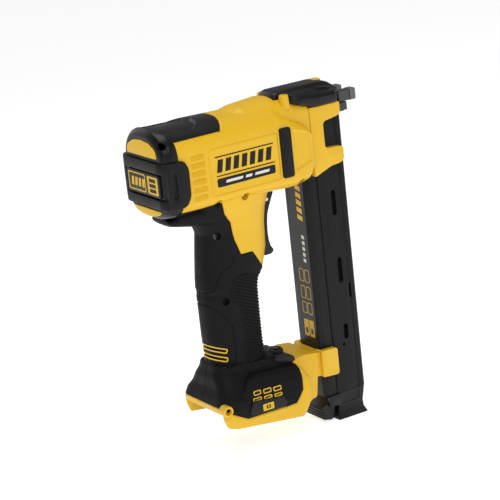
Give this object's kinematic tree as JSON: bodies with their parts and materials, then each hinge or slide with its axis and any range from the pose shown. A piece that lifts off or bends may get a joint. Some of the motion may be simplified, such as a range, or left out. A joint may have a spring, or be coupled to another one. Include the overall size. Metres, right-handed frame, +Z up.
{
  "type": "brad nailer",
  "caption": "Cordless brad nailer: pistol grip, spring hammer barrel, straight sliding magazine in front of the hand, contact trip nose and slide-on battery foot.",
  "frame": {"origin": "middle of the battery seat, on the flat underside of the terminal block", "axes": "+X the drive direction, towards the nose; +Y the operator's left; +Z up along the magazine"},
  "size_m": [0.207, 0.0772, 0.298],
  "materials": {
    "yellow_shell": "fine satin moulded plastic",
    "black_shell": "fine textured black plastic",
    "black_rubber": "soft matt overmould",
    "bright_steel": "bright machined steel",
    "black_steel": "black oxide steel",
    "black_aluminium": "black anodised, satin",
    "bright_aluminium": "plain drawn section",
    "pale_pad": "light grey soft pad",
    "clear_lens": "clear moulded lens",
    "board": "coated circuit board",
    "cast_alloy": "as cast"
  },
  "bodies": {
    "housing": {"barrel_screw_front": "black_steel", "barrel_screw_middle": "black_steel", "barrel_screw_rear": "black_steel", "contact_trip_spring": "bright_steel", "control_board": "board", "drive_spring": "bright_steel", "gearbox_case": "cast_alloy", "grip_left": "black_rubber", "grip_right": "black_rubber", "grip_screw_lower": "black_steel", "grip_screw_upper": "black_steel", "guide_rod": "bright_steel", "housing_left": "yellow_shell", "housing_right": "yellow_shell", "impact_bumper": "black_rubber", "indicator_panel": "black_shell", "lamp_hood": "black_shell", "lamp_lens": "clear_lens", "magazine_bracket": "yellow_shell", "magazine_rail": "black_aluminium", "motor_can": "black_steel", "nose_frame": "yellow_shell", "nose_guard_left": "black_shell", "nose_guard_right": "black_shell", "nosepiece": "black_steel", "rear_badge": "black_shell", "rear_bumper_lower": "black_rubber", "rear_bumper_upper": "black_rubber", "rear_cap": "black_shell", "rear_inlay_lower": "yellow_shell", "rear_inlay_upper": "yellow_shell", "rear_pad_left": "black_rubber", "rear_pad_right": "black_rubber", "side_bumper_left": "black_rubber", "side_bumper_right": "black_rubber", "terminal_blade_negative": "bright_steel", "terminal_blade_positive": "bright_steel", "terminal_block": "black_shell", "top_cover": "black_shell", "trigger_pin": "bright_steel", "trigger_spring": "bright_steel", "trigger_switch": "black_shell"},
    "trigger": {"trigger": "black_shell"},
    "contact_trip": {"contact_trip": "black_steel", "trip_tip_right": "pale_pad", "trip_tip_left": "pale_pad"},
    "magazine": {"magazine_cover": "black_aluminium", "magazine_foot": "black_shell", "latch_pin": "bright_steel", "staple_track": "bright_aluminium", "pusher_spring": "bright_steel"},
    "latch": {"magazine_latch": "black_shell"},
    "pusher": {"pusher": "black_shell"},
    "hammer": {"hammer": "bright_steel", "driver_blade": "bright_steel"},
    "lifter": {"lifter_gear": "bright_steel", "lifter_axle": "bright_steel"},
    "rotor": {"motor_shaft": "bright_steel", "fan": "black_shell", "pinion": "bright_steel"}
  },
  "joints": [
    {"name": "trigger_pull", "type": "hinge", "parent": "housing", "child": "trigger", "pos_m": [0.041, 0, 0.169], "axis": [0, 1, 0], "range_deg": [0, 8.5], "stiffness_Nm_per_rad": 0.6, "springref_deg": -11.46, "deforming": ["trigger_spring"]},
    {"name": "trip_press", "type": "slide", "parent": "housing", "child": "contact_trip", "axis": [-1, 0, 0], "range_m": [0, 0.0075], "stiffness_N_per_m": 300, "springref_m": -0.004, "deforming": ["contact_trip_spring"]},
    {"name": "magazine_slide", "type": "slide", "parent": "housing", "child": "magazine", "axis": [0, 0, -1], "range_m": [0, 0.12]},
    {"name": "latch_flip", "type": "hinge", "parent": "magazine", "child": "latch", "pos_m": [0.0835, 0, -0.022], "axis": [0, 1, 0], "range_deg": [0, 12], "stiffness_Nm_per_rad": 0.2, "springref_deg": -11.46},
    {"name": "pusher_feed", "type": "slide", "parent": "magazine", "child": "pusher", "axis": [0, 0, -1], "range_m": [0, 0.14], "stiffness_N_per_m": 20, "springref_m": -0.08, "deforming": ["pusher_spring"]},
    {"name": "hammer_stroke", "type": "slide", "parent": "housing", "child": "hammer", "axis": [-1, 0, 0], "range_m": [0, 0.035], "stiffness_N_per_m": 400, "springref_m": -0.02, "deforming": ["drive_spring"]},
    {"name": "lifter_turn", "type": "hinge", "parent": "housing", "child": "lifter", "pos_m": [0.056, 0, 0.2102], "axis": [0, 1, 0], "range_deg": [-120, 0]},
    {"name": "rotor_turn", "type": "hinge", "parent": "housing", "child": "rotor", "pos_m": [0, 0, 0.207], "axis": [1, 0, 0], "range_deg": [0, 260]}
  ],
  "couplings": [
    {"joint": "lifter_turn", "follows": "hammer_stroke", "rad_per_m": -57.14},
    {"joint": "rotor_turn", "follows": "hammer_stroke", "rad_per_m": 127}
  ]
}
